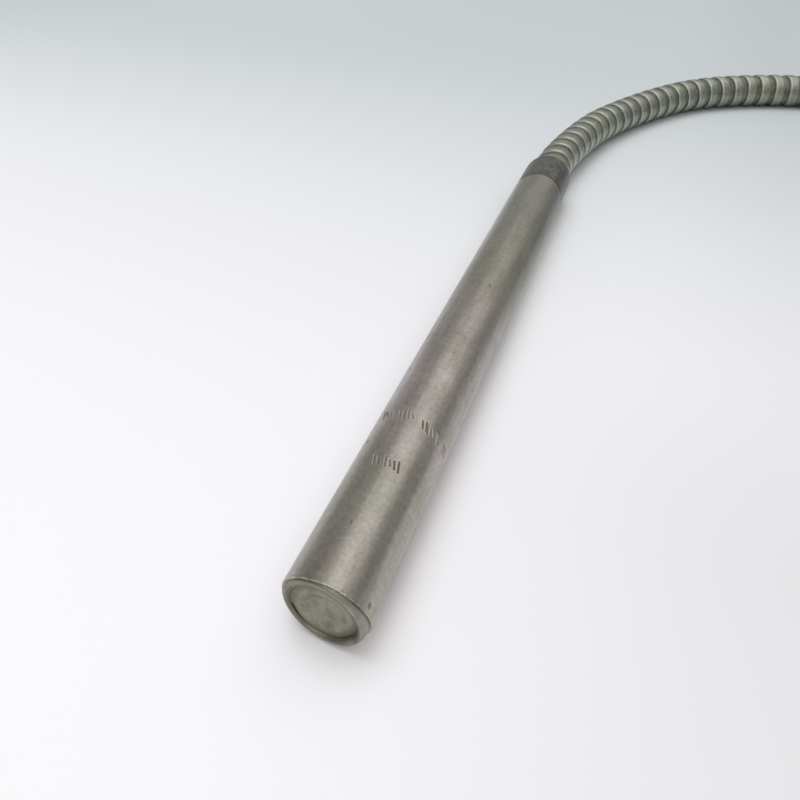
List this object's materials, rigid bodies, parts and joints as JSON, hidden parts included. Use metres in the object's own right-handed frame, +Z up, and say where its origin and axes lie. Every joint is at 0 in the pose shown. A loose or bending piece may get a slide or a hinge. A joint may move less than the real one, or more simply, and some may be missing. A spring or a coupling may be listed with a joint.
{
  "type": "cartridge heater",
  "caption": "Straight steel-sheathed cartridge heater with a welded end disc, a short coupling and a flexible metal armour hose with leads.",
  "frame": {"origin": "bottom centre of the rigid heater (sheath and coupling), on the table that it lies on", "axes": "+X along the sheath towards the coupling and hose, the closed end towards -X, +Z up"},
  "size_m": [0.3194, 0.2704, 0.0191],
  "materials": {
    "sheath_steel": "ground, dull, lightly stained",
    "weld_steel": "heat tinted, dull",
    "ceramic": "matte ceramic",
    "magnesia": "matte compacted powder",
    "resistance_wire": "oxidised",
    "pin_metal": "bright",
    "cement": "matte",
    "coupling_steel": "dark, smooth",
    "woven_cover": "braided glass",
    "hose_steel": "dull galvanised",
    "tie_plastic": "satin",
    "ferrule_steel": "plated",
    "bushing_plastic": "matte",
    "terminal_metal": "nickel plated"
  },
  "bodies": {
    "root": {"sheath": "sheath_steel", "end_disc": "weld_steel", "base_insulator": "ceramic", "core_1": "magnesia", "core_2": "magnesia", "core_3": "magnesia", "core_4": "magnesia", "winding": "resistance_wire", "fill": "magnesia", "pin_short": "pin_metal", "pin_long": "pin_metal", "lead_insulator": "ceramic", "seal": "cement", "coupling": "coupling_steel", "crimp_short": "pin_metal", "crimp_long": "pin_metal", "sleeve_short": "woven_cover", "sleeve_long": "woven_cover", "hose": "hose_steel", "hose_coil": "hose_steel", "tie_first": "tie_plastic", "tie_second": "tie_plastic", "ferrule": "ferrule_steel", "bushing": "bushing_plastic", "lead_left": "woven_cover", "lead_right": "woven_cover", "terminal_left": "terminal_metal", "terminal_right": "terminal_metal"}
  },
  "joints": []
}
